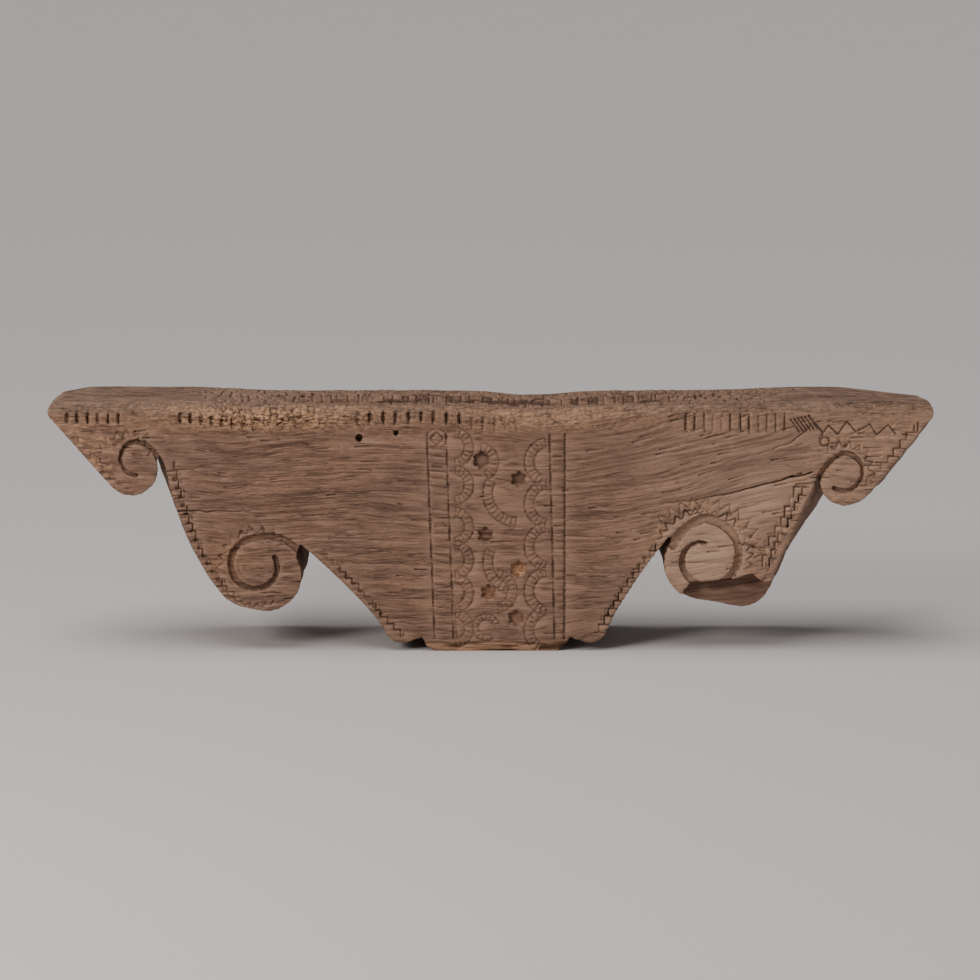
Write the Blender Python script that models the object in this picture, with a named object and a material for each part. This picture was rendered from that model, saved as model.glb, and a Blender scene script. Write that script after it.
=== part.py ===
"""Carved bracket capital of old timber: one solid that stands on its narrow foot.

Metres, +Z up. The carved face looks towards -Y and the length runs along X. The origin is on the
ground, in the middle of the length and of the depth. A place on the carved face is written (u, z),
where u is measured outwards from the middle of the length, so that both halves share one code.
"""
import math
from typing import NamedTuple

import bmesh
import bpy

# Overall size
LENGTH = 1.200
HEIGHT = 0.342
DEPTH = 0.165

# Foot that stands on the ground: half its length on each side of the middle, and its broken edge
FOOT_LEFT = 0.088
FOOT_RIGHT = 0.103
FOOT_EDGE = 0.006
FOOT_CUT = 0.018

# Small toe lobe beside the foot, and the hollow of the long slope above it
TOE_OUT = 0.032
TOE_RADIUS = 0.025
TOE_LIFT = 0.010
SLOPE_BOW = 0.005

# Pointed ends of the timber, and the corner worn off at their backs
NOSE_RADIUS = 0.013
NOSE_DROP = 0.012
BACK_ROUND = 0.010

# Share of a leg's flare towards the back that is left down at its heel
HEEL_FLARE = 0.55

# Top: a broad shallow sag with one deeper dip in it
SAG_DEPTH = 0.0045
SAG_START = 0.420
DIP_DEPTH = 0.0065
DIP_MIDDLE = 0.060
DIP_REACH = 0.060

# Front arris of the top, worn into a crumbling slope that is deepest at two places
WEAR_DEPTH = 0.012
WEAR_LEFT = 0.013
WEAR_LEFT_OUT = 0.300
WEAR_MIDDLE = 0.019
WEAR_MIDDLE_OUT = 0.070
WEAR_SPREAD = 0.085
WEAR_REACH = 0.030

# Hollow rotted into the top, with a deeper pit in its floor
ROT_LENGTH = 0.560
ROT_WIDTH = 0.078
ROT_DEPTH = 0.017
ROT_SIDE = 0.012
PIT_SIZE = 0.022

# Panel in the middle of the face, between two ladders of incised lines
PANEL_LEFT = 0.086
PANEL_RIGHT = 0.101
PANEL_TOP_DROP = 0.040
PANEL_FOOT_GAP = 0.014
LADDER_LEFT_WIDTH = 0.026
LADDER_RIGHT_WIDTH = 0.021
LADDER_LEAN = 0.010
RUNG_PITCH = 0.0105
LINE_WIDTH = 0.0027
LINE_DEPTH = 0.0023

# Rings and stars of the panel; the rings share out the panel's height
PANEL_HEIGHT = HEIGHT - PANEL_TOP_DROP - PANEL_FOOT_GAP
RING_RADIUS = 0.118 * PANEL_HEIGHT
RING_BAND = 0.38 * RING_RADIUS
STAR_WIDTH = 0.021
STAR_HEIGHT = 0.025
STAR_DEPTH = 0.007

# Chip-carved teeth along the edges
TOOTH_PITCH = 0.0125
TOOTH_SIZE = 0.010
TOOTH_DEPTH = 0.0024
TOOTH_INSET = 0.007

# Zigzag and small ring on the right end
ZIGZAG_PITCH = 0.0125
ZIGZAG_HEIGHT = 0.012
ZIGZAG_DROP = 0.022
LOOP_RADIUS = 0.006

# Right big volute, whose lower front has split away
BREAK_DEPTH = 0.025
BREAK_BATTER = 0.004

# Deepest drying cracks, the left and the right one, and the two nail holes
CRACK_WIDTH = 0.0026
CRACK_DEPTH = 0.008
LEFT_CRACK_INSET = 0.172
LEFT_CRACK_DROP = 0.148
LEFT_CRACK_LENGTH = 0.098
RIGHT_CRACK_INSET = 0.172
RIGHT_CRACK_DROP = 0.094
RIGHT_CRACK_LENGTH = 0.196
RIGHT_CRACK_FALL = 0.042
NAIL_RADIUS = 0.0045
NAIL_OUT = 0.178
NAIL_DROP = 0.047

# Cutters stand this far out of the face that they cut
PROUD = 0.001

FRONT = -DEPTH / 2
END = LENGTH / 2


class Volute(NamedTuple):
    """A volute: its outline lobe, and the coiled channel cut into its face."""
    inset: float
    drop: float
    lobe: float
    coil_in: float
    coil_up: float
    coil: float
    coil_end: float
    turn: float
    width: float
    width_end: float
    depth: float

    def centre(self):
        return END - self.inset, HEIGHT - self.drop

    def coil_centre(self):
        u, z = self.centre()
        return u - self.coil_in, z + self.coil_up


class Side(NamedTuple):
    """One half of the capital; every inset is from the end and every drop is from the top."""
    sign: int
    foot: float
    small: Volute
    small_cleft_inset: float
    small_cleft_drop: float
    leg_drop: float
    bulge_inset: float
    bulge_drop: float
    heel_inset: float
    heel_drop: float
    heel_radius: float
    heel_touch: float
    big: Volute
    big_cleft_inset: float
    big_cleft_drop: float
    flare: float
    corner: float


LEFT = Side(
    sign=-1,
    foot=FOOT_LEFT,
    small=Volute(inset=0.113, drop=0.0895, lobe=0.0375, coil_in=0.009, coil_up=0.012, coil=0.026,
                 coil_end=0.021, turn=180, width=0.0060, width_end=0.003, depth=0.0055),
    small_cleft_inset=0.151,
    small_cleft_drop=0.070,
    leg_drop=0.080,
    bulge_inset=0.182,
    bulge_drop=0.203,
    heel_inset=0.275,
    heel_drop=0.229,
    heel_radius=0.0545,
    heel_touch=-40,
    big=Volute(inset=0.2935, drop=0.2375, lobe=0.050, coil_in=-0.012, coil_up=0.014, coil=0.039,
               coil_end=0.027, turn=300, width=0.0085, width_end=0.0050, depth=0.0065),
    big_cleft_inset=0.341,
    big_cleft_drop=0.194,
    flare=0.029,
    corner=0.010,
)
RIGHT = Side(
    sign=1,
    foot=FOOT_RIGHT,
    small=Volute(inset=0.118, drop=0.104, lobe=0.037, coil_in=0.004, coil_up=0.009, coil=0.0275,
                 coil_end=0.024, turn=215, width=0.006, width_end=0.004, depth=0.0070),
    small_cleft_inset=0.1555,
    small_cleft_drop=0.097,
    leg_drop=0.114,
    bulge_inset=0.203,
    bulge_drop=0.210,
    heel_inset=0.2605,
    heel_drop=0.2435,
    heel_radius=0.041,
    heel_touch=-25,
    big=Volute(inset=0.309, drop=0.220, lobe=0.055, coil_in=0.000, coil_up=0.007, coil=0.055,
               coil_end=0.021, turn=370, width=0.0125, width_end=0.0035, depth=0.0085),
    big_cleft_inset=0.355,
    big_cleft_drop=0.182,
    flare=0.053,
    corner=0.020,
)
SIDES = (LEFT, RIGHT)


class NotchRow(NamedTuple):
    """A row of notches, as deep as wide; a minus gap below the worn arris lets them run out through it."""
    side: Side
    inset: float
    count: int
    pitch: float
    gap: float
    height: float
    width: float


NOTCH_ROWS = (
    NotchRow(side=LEFT, inset=0.097, count=6, pitch=0.0140, gap=0.003, height=0.012, width=0.0042),
    NotchRow(side=LEFT, inset=0.280, count=8, pitch=0.0143, gap=-0.006, height=0.018, width=0.0042),
    NotchRow(side=LEFT, inset=0.558, count=9, pitch=0.0172, gap=-0.006, height=0.018, width=0.0042),
    NotchRow(side=RIGHT, inset=0.336, count=12, pitch=0.0122, gap=0.004, height=0.020, width=0.0027),
)


def clear_scene():
    """Removes every object, so that the model starts from nothing."""
    for existing in list(bpy.data.objects):
        bpy.data.objects.remove(existing, do_unlink=True)


def smoothstep(low, high, value):
    """Rises smoothly from 0 at low to 1 at high."""
    share = min(max((value - low) / (high - low), 0.0), 1.0)
    return share * share * (3.0 - 2.0 * share)


def polar(centre, radius, degrees):
    """The place at a distance and a direction from a centre."""
    angle = math.radians(degrees)
    return centre[0] + radius * math.cos(angle), centre[1] + radius * math.sin(angle)


def arc(centre, radius, start, stop, step=9.0):
    """Points along an arc, one every few degrees, both ends included."""
    count = max(2, round(abs(stop - start) / step))
    return [polar(centre, radius, start + (stop - start) * i / count) for i in range(count + 1)]


def bezier(start, control, end, count):
    """Points along a curve with one control point, its end left out."""
    points = []
    for i in range(count):
        t = i / count
        a, b, c = (1 - t) ** 2, 2 * t * (1 - t), t * t
        points.append(tuple(a * start[k] + b * control[k] + c * end[k] for k in (0, 1)))
    return points


def bowed(start, end, bow, count):
    """Points along a line from start to end that bows to its left by the given amount."""
    run, rise = end[0] - start[0], end[1] - start[1]
    length = math.hypot(run, rise)
    control = ((start[0] + end[0]) / 2 - 2 * bow * rise / length,
               (start[1] + end[1]) / 2 + 2 * bow * run / length)
    return bezier(start, control, end, count)


def tangent_angle(first, first_radius, second, second_radius):
    """Direction, in degrees, in which one straight line touches two circles from below."""
    run, rise = second[0] - first[0], second[1] - first[1]
    lean = math.acos((first_radius - second_radius) / math.hypot(run, rise))
    return (math.degrees(math.atan2(rise, run) + lean)) % 360 - 360


def end_outline(side):
    """The pointed end and the small lobe, from the top down to the cleft behind the lobe."""
    nose = (END - NOSE_RADIUS, HEIGHT - NOSE_DROP)
    lobe = side.small.centre()
    touch = tangent_angle(nose, NOSE_RADIUS, lobe, side.small.lobe)
    top = math.degrees(math.asin(min(1.0, NOSE_DROP / NOSE_RADIUS)))
    return (arc(nose, NOSE_RADIUS, top, touch, 16.0)
            + arc(lobe, side.small.lobe, touch, -190)
            + [(END - side.small_cleft_inset, HEIGHT - side.small_cleft_drop)])


def leg_outline(side):
    """The bulging outer edge of the leg, down to its heel."""
    top = (END - side.small_cleft_inset - FOOT_EDGE, HEIGHT - side.leg_drop)
    bulge = (END - side.bulge_inset, HEIGHT - side.bulge_drop)
    heel = (END - side.heel_inset, HEIGHT - side.heel_drop)
    return bezier(top, bulge, polar(heel, side.heel_radius, side.heel_touch), 12)


def lobe_outline(side):
    """The heel and the big lobe, round to the cleft at the lobe's inner side."""
    heel = (END - side.heel_inset, HEIGHT - side.heel_drop)
    lobe = side.big.centre()
    touch = tangent_angle(heel, side.heel_radius, lobe, side.big.lobe)
    return (arc(heel, side.heel_radius, side.heel_touch, touch)
            + arc(lobe, side.big.lobe, touch, -212))


def slope_outline(side):
    """The long hollow slope from the cleft of the big volute down to the toe."""
    cleft = (END - side.big_cleft_inset, HEIGHT - side.big_cleft_drop)
    toe = (side.foot + TOE_OUT, TOE_LIFT + TOE_RADIUS)
    return bowed(cleft, polar(toe, TOE_RADIUS, -15), -SLOPE_BOW, 12)


def foot_outline(side):
    """The toe lobe, the small cut beside it, and the edge of the foot."""
    toe = (side.foot + TOE_OUT, TOE_LIFT + TOE_RADIUS)
    return (arc(toe, TOE_RADIUS, -15, -120, 15.0)
            + [(side.foot + FOOT_EDGE, FOOT_CUT),
               (side.foot, FOOT_EDGE),
               (side.foot - 2 * FOOT_EDGE, 0.0)])


def half_outline(side):
    """One half of the front outline, as (u, z) from the top of the end to the foot."""
    return (end_outline(side) + leg_outline(side) + lobe_outline(side) + slope_outline(side)
            + foot_outline(side))


def bump(x, middle, reach):
    """A smooth bump of height 1 round a middle."""
    return math.exp(-((x - middle) / reach) ** 2)


def top_outline():
    """The sagging middle of the top, as (x, z) from right to left."""
    count = 20
    points = []
    for i in range(count + 1):
        x = SAG_START * (1 - 2 * i / count)
        sag = SAG_DEPTH * smoothstep(0.0, 0.3 * SAG_START, SAG_START - abs(x))
        points.append((x, HEIGHT - sag - DIP_DEPTH * bump(x, DIP_MIDDLE, DIP_REACH)))
    return points


def flared(side, point, share):
    """Moves a point of the front outline to where it lies further back in the timber."""
    u, z = point
    big, small = side.big.centre()[0], side.small.centre()[0]
    rise = smoothstep(big - side.big.lobe, big + side.big.lobe, u)
    fall = smoothstep(small, END, u)
    upper = smoothstep(HEIGHT - side.heel_drop, HEIGHT - side.leg_drop, z)
    size = side.flare * (HEEL_FLARE + (1 - HEEL_FLARE) * upper)
    return u + size * share * rise * (1 - fall), z


def ring(share, inset):
    """The whole outline at one depth, share 0 in front and 1 at the back, drawn in by an inset."""
    halves = []
    for side in SIDES:
        points = []
        for point in half_outline(side):
            u, z = flared(side, point, share)
            near_end = smoothstep(END - side.small.inset, END, u)
            u -= inset * (0.3 + side.corner / BACK_ROUND * near_end)
            points.append((side.sign * u, min(z, HEIGHT - 0.3 * inset)))
        halves.append(points)
    top = [(x, z - 0.3 * inset) for x, z in top_outline()]
    y = FRONT + DEPTH * share
    return [(x, y, z) for x, z in halves[0] + halves[1][::-1] + top]


def add_loft(mesh, rings):
    """Adds one closed body that runs through rings of equally many points, with flat ends."""
    loops = [[mesh.verts.new(point) for point in points] for points in rings]
    faces = [mesh.faces.new(loops[0]), mesh.faces.new(loops[-1][::-1])]
    for near, far in zip(loops, loops[1:]):
        for i in range(len(near)):
            j = (i + 1) % len(near)
            faces.append(mesh.faces.new((near[j], near[i], far[i], far[j])))
    bmesh.ops.recalc_face_normals(mesh, faces=faces)


def mesh_object(name, fill):
    """Makes an object from a function that fills an empty mesh with closed bodies."""
    mesh = bmesh.new()
    fill(mesh)
    data = bpy.data.meshes.new(name)
    mesh.to_mesh(data)
    mesh.free()
    made = bpy.data.objects.new(name, data)
    bpy.context.scene.collection.objects.link(made)
    return made


def on_face(side, point, depth):
    """The place at a depth behind the carved face of a point (u, z) of one half."""
    return side.sign * point[0], FRONT + depth, point[1]


def mouth(floor, depth):
    """How much wider a tapering cut is where its cutter stands proud than at the face."""
    return 1 + (1 - floor) * PROUD / depth


def add_prism(mesh, side, outline, depth, floor=0.35):
    """Sinks an outline into the face, narrowing to a share of its size at its floor."""
    middle = [sum(point[k] for point in outline) / len(outline) for k in (0, 1)]
    levels = []
    for size, sunk in ((mouth(floor, depth), -PROUD), (floor, depth)):
        levels.append([on_face(side, [middle[k] + size * (point[k] - middle[k]) for k in (0, 1)], sunk)
                       for point in outline])
    add_loft(mesh, levels)


def direction(start, end):
    """Unit direction from one point to another."""
    length = math.dist(start, end)
    return (end[0] - start[0]) / length, (end[1] - start[1]) / length


def add_channel(mesh, side, points, width, depth, width_end=None, floor=0.3):
    """Sinks a channel along a line of points, its width running evenly to width_end."""
    rings = []
    wide = mouth(floor, depth)
    last = len(points) - 1
    for i, (u, z) in enumerate(points):
        half = (width + ((width_end or width) - width) * i / last) / 2
        run, rise = direction(points[max(i - 1, 0)], points[min(i + 1, last)])
        edges = [(u - rise * half * k, z + run * half * k) for k in (wide, -wide, -floor, floor)]
        depths = (-PROUD, -PROUD, depth, depth)
        rings.append([on_face(side, edge, sunk) for edge, sunk in zip(edges, depths)])
    add_loft(mesh, rings)


def coil_path(side, volute):
    """Middle of a volute's channel, from its cleft over the top and round to its inner end."""
    centre = volute.coil_centre()
    count = round(volute.turn / 11)
    coil = [polar(centre, volute.coil + (volute.coil_end - volute.coil) * i / count,
                  90 - volute.turn * i / count) for i in range(count + 1)]
    if volute is side.small:
        cleft = (END - side.small_cleft_inset, HEIGHT - side.small_cleft_drop)
    else:
        cleft = (END - side.big_cleft_inset, HEIGHT - side.big_cleft_drop)
    mouth_drop = 1.3 * volute.width
    cleft = (cleft[0], cleft[1] - mouth_drop)
    return bowed(cleft, coil[0], 0.16 * (coil[0][0] - cleft[0]), 5) + coil


def fill_coils(mesh):
    """The coiled channels of the four volutes."""
    for side in SIDES:
        for volute in (side.small, side.big):
            add_channel(mesh, side, coil_path(side, volute), volute.width, volute.depth,
                        volute.width_end, floor=0.8)


def fill_break(mesh):
    """The front layer that has split off below the right big volute."""
    volute = RIGHT.big
    u, z = volute.coil_centre()
    left, right, low = u - volute.lobe, u + 3 * volute.lobe, z - 2.4 * volute.lobe
    edge = [(left, low), (u - 0.50 * volute.coil, z - 0.85 * volute.coil),
            (u - 0.34 * volute.coil, z - 0.64 * volute.coil),
            (u + 0.84 * volute.coil, z - 0.52 * volute.coil),
            (u + 1.16 * volute.coil, z - 0.40 * volute.coil),
            (u + 1.40 * volute.coil, z - 0.60 * volute.coil),
            (right, z - 0.62 * volute.coil), (right, low)]
    floor = [on_face(RIGHT, point, BREAK_DEPTH - BREAK_BATTER * (z - point[1]) / volute.lobe)
             for point in edge]
    add_loft(mesh, [[on_face(RIGHT, point, -PROUD) for point in edge], floor])


def wear(x):
    """How far the front arris of the top is worn down at x."""
    return (WEAR_DEPTH + WEAR_LEFT * bump(x, -WEAR_LEFT_OUT, WEAR_SPREAD)
            + WEAR_MIDDLE * bump(x, WEAR_MIDDLE_OUT, WEAR_SPREAD))


def fill_arris(mesh):
    """The front arris of the top, worn into a slope along the whole length."""
    stations = []
    count = 26
    reach = END + PROUD
    for i in range(count + 1):
        x = -reach + 2 * reach * i / count
        drop = wear(x)
        slope = drop / WEAR_REACH
        stations.append([(x, FRONT - PROUD, HEIGHT - drop - slope * PROUD),
                         (x, FRONT + WEAR_REACH + PROUD / slope, HEIGHT + PROUD),
                         (x, FRONT - PROUD, HEIGHT + PROUD)])
    add_loft(mesh, stations)


def box_ring(middle, length, width, z):
    """A level rectangle round a place (x, y)."""
    return [(middle[0] + length / 2 * i, middle[1] + width / 2 * j, z)
            for i, j in ((-1, -1), (1, -1), (1, 1), (-1, 1))]


def fill_rot(mesh):
    """The long rotted hollow in the middle of the top, with sloping sides."""
    middle = (0.0, FRONT + WEAR_REACH + 0.73 * ROT_WIDTH)
    add_loft(mesh, [box_ring(middle, ROT_LENGTH, ROT_WIDTH, HEIGHT + PROUD),
                    box_ring(middle, ROT_LENGTH - 8 * ROT_SIDE, ROT_WIDTH - 2 * ROT_SIDE,
                             HEIGHT - ROT_DEPTH)])


def fill_pit(mesh):
    """A deeper pit in the floor of the hollow."""
    place = (-PANEL_LEFT + 1.4 * PIT_SIZE, 0.0)
    add_loft(mesh, [box_ring(place, PIT_SIZE, 0.5 * PIT_SIZE, HEIGHT),
                    box_ring(place, 0.7 * PIT_SIZE, 0.3 * PIT_SIZE, HEIGHT - ROT_DEPTH - PIT_SIZE / 2)])


def ladder_lines(side):
    """The two lines of one ladder, outer first, each as its top and its foot."""
    top, low = HEIGHT - PANEL_TOP_DROP, PANEL_FOOT_GAP
    if side is LEFT:
        lines = ((PANEL_LEFT, LADDER_LEAN), (PANEL_LEFT - LADDER_LEFT_WIDTH, LADDER_LEAN))
    else:
        lines = ((PANEL_RIGHT, 0.0), (PANEL_RIGHT - LADDER_RIGHT_WIDTH, -0.8 * LADDER_LEAN))
    return [((u, top), (u - lean, low)) for u, lean in lines]


def fill_rails(mesh):
    """The four upright lines of the panel."""
    for side in SIDES:
        for top, low in ladder_lines(side):
            add_channel(mesh, side, [top, low], LINE_WIDTH, LINE_DEPTH)


def fill_rungs(mesh):
    """The rungs of the two ladders."""
    count = int(PANEL_HEIGHT / RUNG_PITCH)
    for side in SIDES:
        lines = ladder_lines(side)
        for i in range(1, count):
            outer, inner = [[line[0][k] + (line[1][k] - line[0][k]) * i / count for k in (0, 1)]
                            for line in lines]
            ends = [(outer[0] - LINE_WIDTH, outer[1]), (inner[0] + LINE_WIDTH, inner[1])]
            add_channel(mesh, side, ends, 0.8 * LINE_WIDTH, 0.7 * LINE_DEPTH)


def panel_place(x, share):
    """A point of the panel, from x and its share of the panel's height."""
    return x, PANEL_FOOT_GAP + PANEL_HEIGHT * share


def fill_rings(mesh):
    """The ring bands: half rings beside the two ladders, and arcs round two of the stars."""
    left = LADDER_LEFT_WIDTH - PANEL_LEFT + LADDER_LEAN
    right = PANEL_RIGHT - LADDER_RIGHT_WIDTH
    middle = right - 1.3 * RING_RADIUS
    bands = [(left, share, 0.8, -50, 50) for share in (0.93, 0.75, 0.55, 0.39, 0.23)]
    bands += [(right, share, 1.0, 131, 229) for share in (0.86, 0.66, 0.455, 0.24)]
    bands += [(middle, 0.71, 1.35, 165, 255), (middle, 0.38, 1.35, 165, 235)]
    for x, share, size, start, stop in bands:
        for radius in (size * RING_RADIUS, size * RING_RADIUS - RING_BAND):
            add_channel(mesh, RIGHT, arc(panel_place(x, share), radius, start, stop, 17.0),
                        0.8 * LINE_WIDTH, 0.7 * LINE_DEPTH)


def star(centre):
    """Outline of an upright, stubby six-pointed star."""
    points = []
    for i in range(12):
        size = 0.5 if i % 2 == 0 else 0.36
        angle = math.radians(90 + 30 * i)
        points.append((centre[0] + STAR_WIDTH * size * math.cos(angle) / math.cos(math.pi / 6),
                       centre[1] + STAR_HEIGHT * size * math.sin(angle)))
    return points


def fill_stars(mesh):
    """The six sunk stars of the panel."""
    left = LADDER_LEFT_WIDTH - PANEL_LEFT
    right = PANEL_RIGHT - LADDER_RIGHT_WIDTH
    places = ((0.34, 0.868), (0.70, 0.778), (0.38, 0.510), (0.70, 0.347), (0.41, 0.233), (0.68, 0.108))
    for across, share in places:
        add_prism(mesh, RIGHT, star(panel_place(left + (right - left) * across, share)), STAR_DEPTH,
                  floor=0.8)


def fill_notches(mesh):
    """The rows of upright notches under the top edge of the face."""
    for row in NOTCH_ROWS:
        for i in range(row.count):
            u = END - row.inset + row.pitch * i
            top = HEIGHT - wear(row.side.sign * u) - row.gap
            add_channel(mesh, row.side, [(u, top), (u, top - row.height)], row.width, row.width)


def spaced(points, pitch):
    """Evenly spaced places on a line of points, each with the line's direction there."""
    lengths = [0.0]
    for near, far in zip(points, points[1:]):
        lengths.append(lengths[-1] + math.dist(near, far))
    count = max(1, int(lengths[-1] / pitch))
    places = []
    for i in range(count):
        goal = (i + 0.5) * lengths[-1] / count
        j = max(k for k in range(len(points) - 1) if lengths[k] <= goal)
        share = (goal - lengths[j]) / (lengths[j + 1] - lengths[j])
        place = [points[j][k] + share * (points[j + 1][k] - points[j][k]) for k in (0, 1)]
        places.append((place, direction(points[j], points[j + 1])))
    return places


def add_teeth(mesh, side, points, inset):
    """Chips a row of triangles out of the face beside a line; a minus inset is to its right."""
    tall = math.copysign(0.8 * TOOTH_SIZE, inset)
    half = 0.5 * TOOTH_SIZE
    for (u, z), (run, rise) in spaced(points, TOOTH_PITCH):
        base = (u - rise * inset, z + run * inset)
        chip = [(base[0] + run * half, base[1] + rise * half),
                (base[0] - run * half, base[1] - rise * half),
                (base[0] - rise * tall, base[1] + run * tall)]
        add_prism(mesh, side, chip, TOOTH_DEPTH, floor=0.2)


def fill_teeth(mesh):
    """The rows of teeth along the legs, the slopes and outside the volutes' channels."""
    for side in SIDES:
        add_teeth(mesh, side, leg_outline(side)[1:], -TOOTH_INSET)
        add_teeth(mesh, side, slope_outline(side)[2:], -TOOTH_INSET)
        for volute, stop in ((side.small, 20), (side.big, 8)):
            outside = volute.coil + volute.width / 2 + TOOTH_INSET / 2
            add_teeth(mesh, side, arc(volute.coil_centre(), outside, 125, stop), PROUD)


def fill_marks(mesh):
    """The zigzag and the small ring carved on the right end."""
    start = RIGHT.small_cleft_inset - 0.5 * ZIGZAG_PITCH
    zigzag = [(END - start + ZIGZAG_PITCH * i, HEIGHT - ZIGZAG_DROP - ZIGZAG_HEIGHT * (i % 2))
              for i in range(9)]
    add_channel(mesh, RIGHT, zigzag, LINE_WIDTH, LINE_DEPTH)
    loop = (END - start, HEIGHT - ZIGZAG_DROP - 2.2 * ZIGZAG_HEIGHT)
    add_channel(mesh, RIGHT, arc(loop, LOOP_RADIUS, 75, -255, 30.0), 0.7 * LINE_WIDTH, LINE_DEPTH)


def fill_cracks(mesh):
    """The two deepest drying cracks and the two nail holes."""
    start = (END - LEFT_CRACK_INSET, HEIGHT - LEFT_CRACK_DROP)
    end = (start[0] - LEFT_CRACK_LENGTH, start[1])
    add_channel(mesh, LEFT, bowed(start, end, 0.5 * CRACK_WIDTH, 3) + [end], CRACK_WIDTH, CRACK_DEPTH,
                PROUD)
    start = (END - RIGHT_CRACK_INSET, HEIGHT - RIGHT_CRACK_DROP)
    end = (start[0] - RIGHT_CRACK_LENGTH, start[1] - RIGHT_CRACK_FALL)
    add_channel(mesh, RIGHT, bowed(start, end, 2 * CRACK_WIDTH, 4) + [end], CRACK_WIDTH, CRACK_DEPTH,
                PROUD)
    for out, drop, radius in ((NAIL_OUT, NAIL_DROP, NAIL_RADIUS),
                              (NAIL_OUT - 0.050, NAIL_DROP - 0.007, 0.7 * NAIL_RADIUS)):
        hole = arc((out, HEIGHT - drop), radius, 0, 300, 60.0)
        add_prism(mesh, LEFT, hole, 2.5 * radius, floor=0.8)


def wood_material():
    """Grey-brown weathered wood."""
    material = bpy.data.materials.new("weathered_wood")
    material.use_nodes = True
    shader = material.node_tree.nodes["Principled BSDF"]
    shader.inputs["Base Color"].default_value = (0.185, 0.100, 0.062, 1.0)
    shader.inputs["Roughness"].default_value = 0.78
    shader.inputs["Metallic"].default_value = 0.0
    return material


def cut(body, name, fill):
    """Cuts one group of closed bodies, which don't cross each other, out of the timber."""
    cutter = mesh_object(name, fill)
    cutter.hide_render = True
    cutter.display_type = "WIRE"
    modifier = body.modifiers.new(name, "BOOLEAN")
    modifier.operation = "DIFFERENCE"
    modifier.solver = "EXACT"
    modifier.object = cutter


def build():
    """Makes the timber and cuts its carving, wear and breaks."""
    clear_scene()
    last = 1.0 - BACK_ROUND / DEPTH
    body = mesh_object("bracket_capital", lambda mesh: add_loft(
        mesh, [ring(0.0, 0.0), ring(last, 0.0), ring(1.0, BACK_ROUND)]))
    body.data.materials.append(wood_material())
    groups = (("cut_break", fill_break), ("cut_arris", fill_arris), ("cut_rot", fill_rot),
              ("cut_pit", fill_pit), ("cut_coils", fill_coils), ("cut_rails", fill_rails),
              ("cut_rungs", fill_rungs), ("cut_rings", fill_rings), ("cut_stars", fill_stars),
              ("cut_notches", fill_notches), ("cut_teeth", fill_teeth), ("cut_marks", fill_marks),
              ("cut_cracks", fill_cracks))
    for name, fill in groups:
        cut(body, name, fill)


build()
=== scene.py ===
"""Weathered carved bracket capital of old timber, on a plain pale floor under soft studio light.

Everything is in metres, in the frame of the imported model: +Z up, the carved face towards -Y. The
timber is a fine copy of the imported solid, with the shallow carving, the cracks, the rotted top and
the worn edges pressed into it. A place on the carved face is (x, z) and one on the top is (x, y).
"""
import math

import bpy
import numpy as np
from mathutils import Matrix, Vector
from mathutils.bvhtree import BVHTree


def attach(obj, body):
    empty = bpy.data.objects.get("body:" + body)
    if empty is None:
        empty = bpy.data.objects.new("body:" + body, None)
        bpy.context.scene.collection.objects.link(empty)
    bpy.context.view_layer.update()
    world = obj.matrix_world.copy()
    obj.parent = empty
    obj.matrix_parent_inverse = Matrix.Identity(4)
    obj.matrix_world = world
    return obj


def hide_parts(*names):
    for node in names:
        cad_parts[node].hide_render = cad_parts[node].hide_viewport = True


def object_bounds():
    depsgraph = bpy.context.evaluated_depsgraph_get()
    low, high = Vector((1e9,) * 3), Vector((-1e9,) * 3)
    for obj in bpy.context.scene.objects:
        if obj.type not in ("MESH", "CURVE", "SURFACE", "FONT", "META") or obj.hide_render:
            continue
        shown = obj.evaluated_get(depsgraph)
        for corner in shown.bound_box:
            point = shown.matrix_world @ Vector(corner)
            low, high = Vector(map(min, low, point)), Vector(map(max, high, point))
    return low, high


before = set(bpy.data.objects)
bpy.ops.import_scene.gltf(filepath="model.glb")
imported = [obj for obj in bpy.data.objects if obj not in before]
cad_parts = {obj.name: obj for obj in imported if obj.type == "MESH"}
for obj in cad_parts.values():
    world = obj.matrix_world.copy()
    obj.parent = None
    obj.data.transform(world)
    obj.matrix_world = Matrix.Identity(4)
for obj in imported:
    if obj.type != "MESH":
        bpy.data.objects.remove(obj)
CAD_LOW, CAD_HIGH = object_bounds()

# Size of the timber
LENGTH = 1.200
HEIGHT = 0.342
DEPTH = 0.165
FRONT = -DEPTH / 2

# Fineness of the copied surface and of the maps that are pressed into it
VOXEL = 0.0012
CELL = 0.0008
MOST_TRIANGLES = 196000

# How far the whole face, top and sides are sunk before their relief, to stay inside the solid's box
FACE_SKIN = 0.0008
TOP_SKIN = 0.0009
SIDE_SKIN = 0.0004

# Middles of the volutes on the face, and of the discs inside the big ones
LEFT_BIG = (-0.3185, 0.1185)
RIGHT_BIG = (0.288, 0.129)
LEFT_SMALL = (-0.496, 0.2645)
RIGHT_SMALL = (0.478, 0.247)
LEFT_DISC = (-0.318, 0.118)
RIGHT_DISC = (0.287, 0.122)

# How near another surface has to be for a hollow's painted shade, and how many ways are looked
SHADE_REACH = 0.009
SHADE_RAYS = 6

# Camera, at the photograph's viewing angle
CAMERA_TARGET = (-0.0007, FRONT, 0.2237)
CAMERA_DISTANCE = 5.3
CAMERA_ELEVATION = math.radians(10.5)
CAMERA_LENS = 143.6

# How far the floor runs from the middle, to fill the background of every view
FLOOR_REACH = 80.0

# Panel between the two ladders
PANEL_LOW = 0.014
PANEL_TOP = 0.302
LEFT_LADDER = -0.050
RIGHT_LADDER = 0.080
RING_RADIUS = 0.034
RING_BAND = 0.013


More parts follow.
